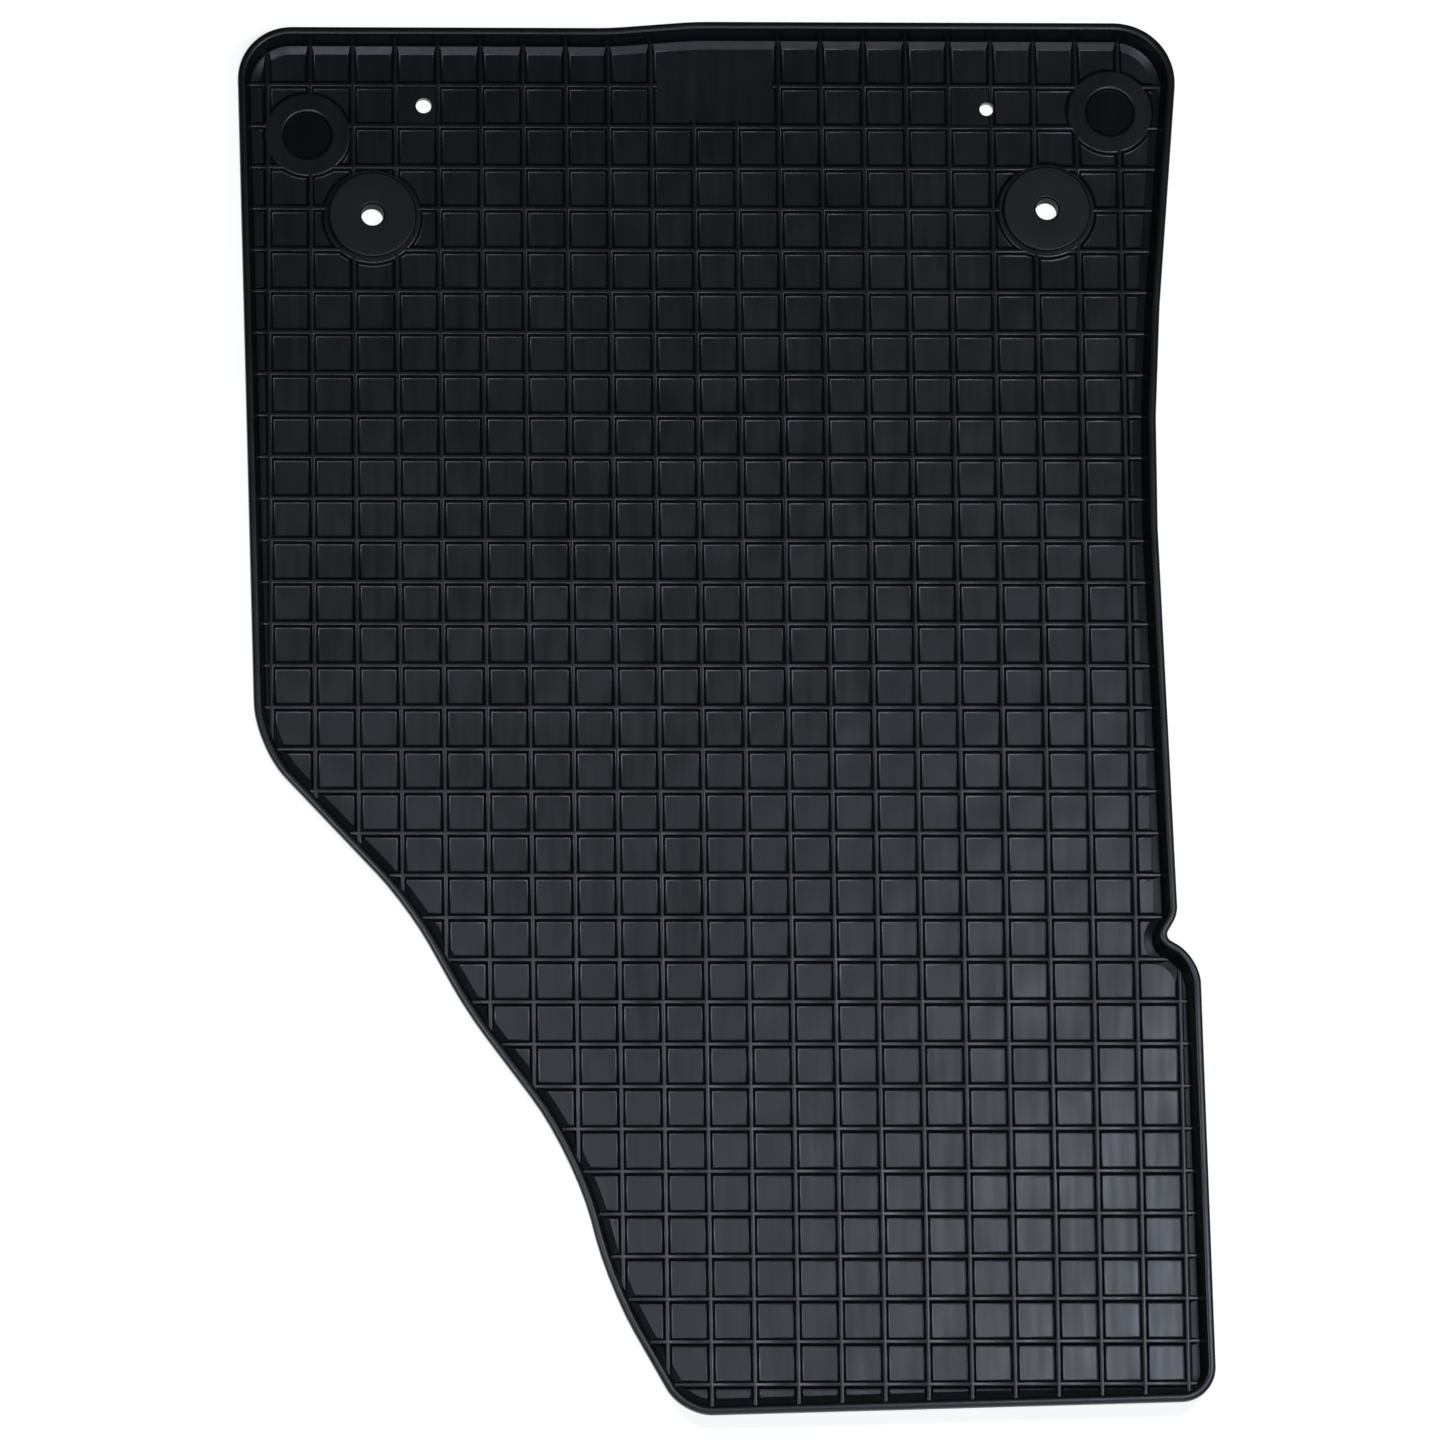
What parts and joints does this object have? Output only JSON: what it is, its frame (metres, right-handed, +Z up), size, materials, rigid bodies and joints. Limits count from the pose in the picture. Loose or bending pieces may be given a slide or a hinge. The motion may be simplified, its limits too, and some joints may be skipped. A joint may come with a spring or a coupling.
{
  "type": "footwell mat",
  "caption": "Moulded rubber footwell mat with a ribbed tray, a raised rim and two round press-fit fixing clips at the heel end.",
  "frame": {"origin": "on the ground, under the middle of the mat's bounding box", "axes": "+X across the mat to its long side, +Y to the heel edge where the clips are, +Z up"},
  "size_m": [0.4902, 0.7306, 0.021],
  "materials": {
    "rubber_moulding": "satin moulded black rubber",
    "clip_cap_plastic": "fine matt moulded black plastic",
    "clip_socket_plastic": "matt moulded black plastic"
  },
  "bodies": {
    "root": {"mat": "rubber_moulding", "left_clip_cap": "clip_cap_plastic", "right_clip_cap": "clip_cap_plastic", "left_clip_socket": "clip_socket_plastic", "right_clip_socket": "clip_socket_plastic"}
  },
  "joints": []
}
